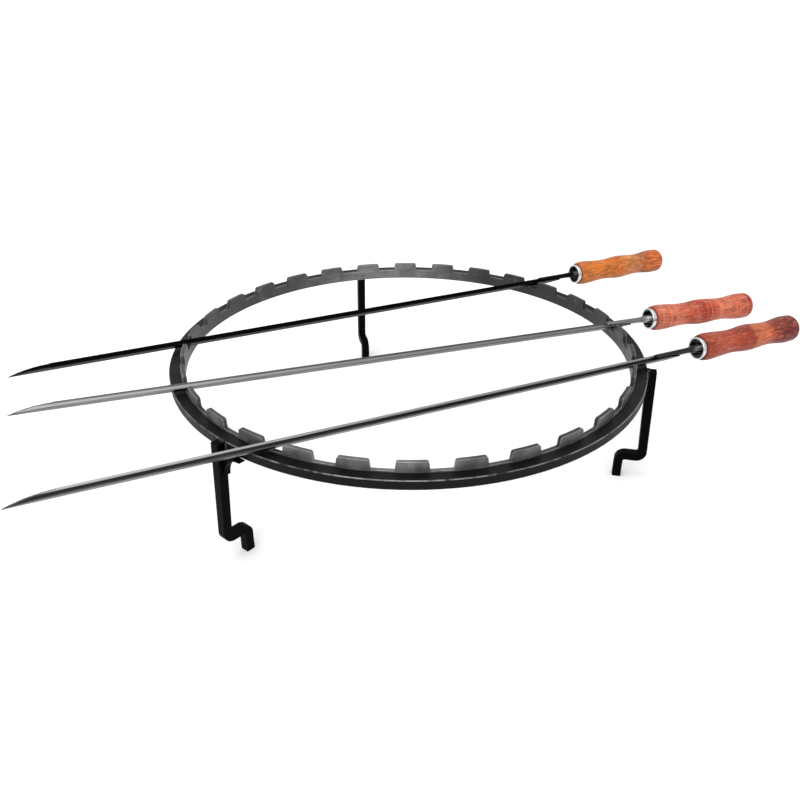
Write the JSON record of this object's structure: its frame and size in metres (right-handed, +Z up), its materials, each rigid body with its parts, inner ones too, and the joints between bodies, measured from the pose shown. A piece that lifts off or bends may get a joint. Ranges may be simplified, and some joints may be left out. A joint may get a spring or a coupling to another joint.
{
  "type": "round skewer stand with long skewers",
  "caption": "Round toothed steel ring on stepped legs that holds long wooden-handled skewers over a fire or plate, each turned and lifted by hand.",
  "frame": {"origin": "on the ring's axis, at floor level under the foot tips", "axes": "+Z up along the ring's axis; +X to the right, towards the handles; +Y away from the viewer of the picture"},
  "size_m": [0.8325, 0.5667, 0.1515],
  "materials": {
    "black_paint": "satin black paint with worn edges",
    "weld_paint": "painted weld bead, slightly rough",
    "strip_steel": "dull dark grey steel, brighter at cut edges",
    "blade_steel": "brushed steel",
    "blade_steel_light": "brushed steel, lighter",
    "blade_steel_dark": "darkened steel",
    "bright_ferrule": "bright plated",
    "wood_brown_red": "turned hardwood, satin varnish",
    "wood_salmon": "turned hardwood, satin varnish",
    "wood_orange": "turned hardwood, satin varnish"
  },
  "bodies": {
    "stand": {"toothed_strip": "strip_steel", "bar_ring": "black_paint", "stitch_welds": "weld_paint", "leg_rear": "black_paint", "leg_left": "black_paint", "leg_right": "black_paint", "weld_rear": "weld_paint", "weld_left": "weld_paint", "weld_right": "weld_paint", "gusset_left": "black_paint"},
    "front_carrier": {"ferrule_front": "bright_ferrule"},
    "front_skewer": {"blade_front": "blade_steel", "neck_front": "blade_steel", "handle_front": "wood_brown_red"},
    "middle_carrier": {"ferrule_middle": "bright_ferrule"},
    "middle_skewer": {"blade_middle": "blade_steel_light", "neck_middle": "blade_steel_light", "handle_middle": "wood_salmon"},
    "rear_carrier": {"ferrule_rear": "bright_ferrule"},
    "rear_skewer": {"blade_rear": "blade_steel_dark", "neck_rear": "blade_steel_dark", "handle_rear": "wood_orange"}
  },
  "joints": [
    {"name": "front_lift", "type": "slide", "parent": "stand", "child": "front_carrier", "axis": [0, 0, 1], "range_m": [0, 0.08]},
    {"name": "front_spin", "type": "hinge", "parent": "front_carrier", "child": "front_skewer", "pos_m": [0.30419, -0.01524, 0.13674], "axis": [0.9119, 0.4103, 0], "continuous": true},
    {"name": "middle_lift", "type": "slide", "parent": "stand", "child": "middle_carrier", "axis": [0, 0, 1], "range_m": [0, 0.08]},
    {"name": "middle_spin", "type": "hinge", "parent": "middle_carrier", "child": "middle_skewer", "pos_m": [0.27364, 0.06254, 0.13674], "axis": [0.9483, 0.3173, 0], "continuous": true},
    {"name": "rear_lift", "type": "slide", "parent": "stand", "child": "rear_carrier", "axis": [0, 0, 1], "range_m": [0, 0.08]},
    {"name": "rear_spin", "type": "hinge", "parent": "rear_carrier", "child": "rear_skewer", "pos_m": [0.21561, 0.20547, 0.13674], "axis": [0.9086, 0.4176, 0], "continuous": true}
  ]
}
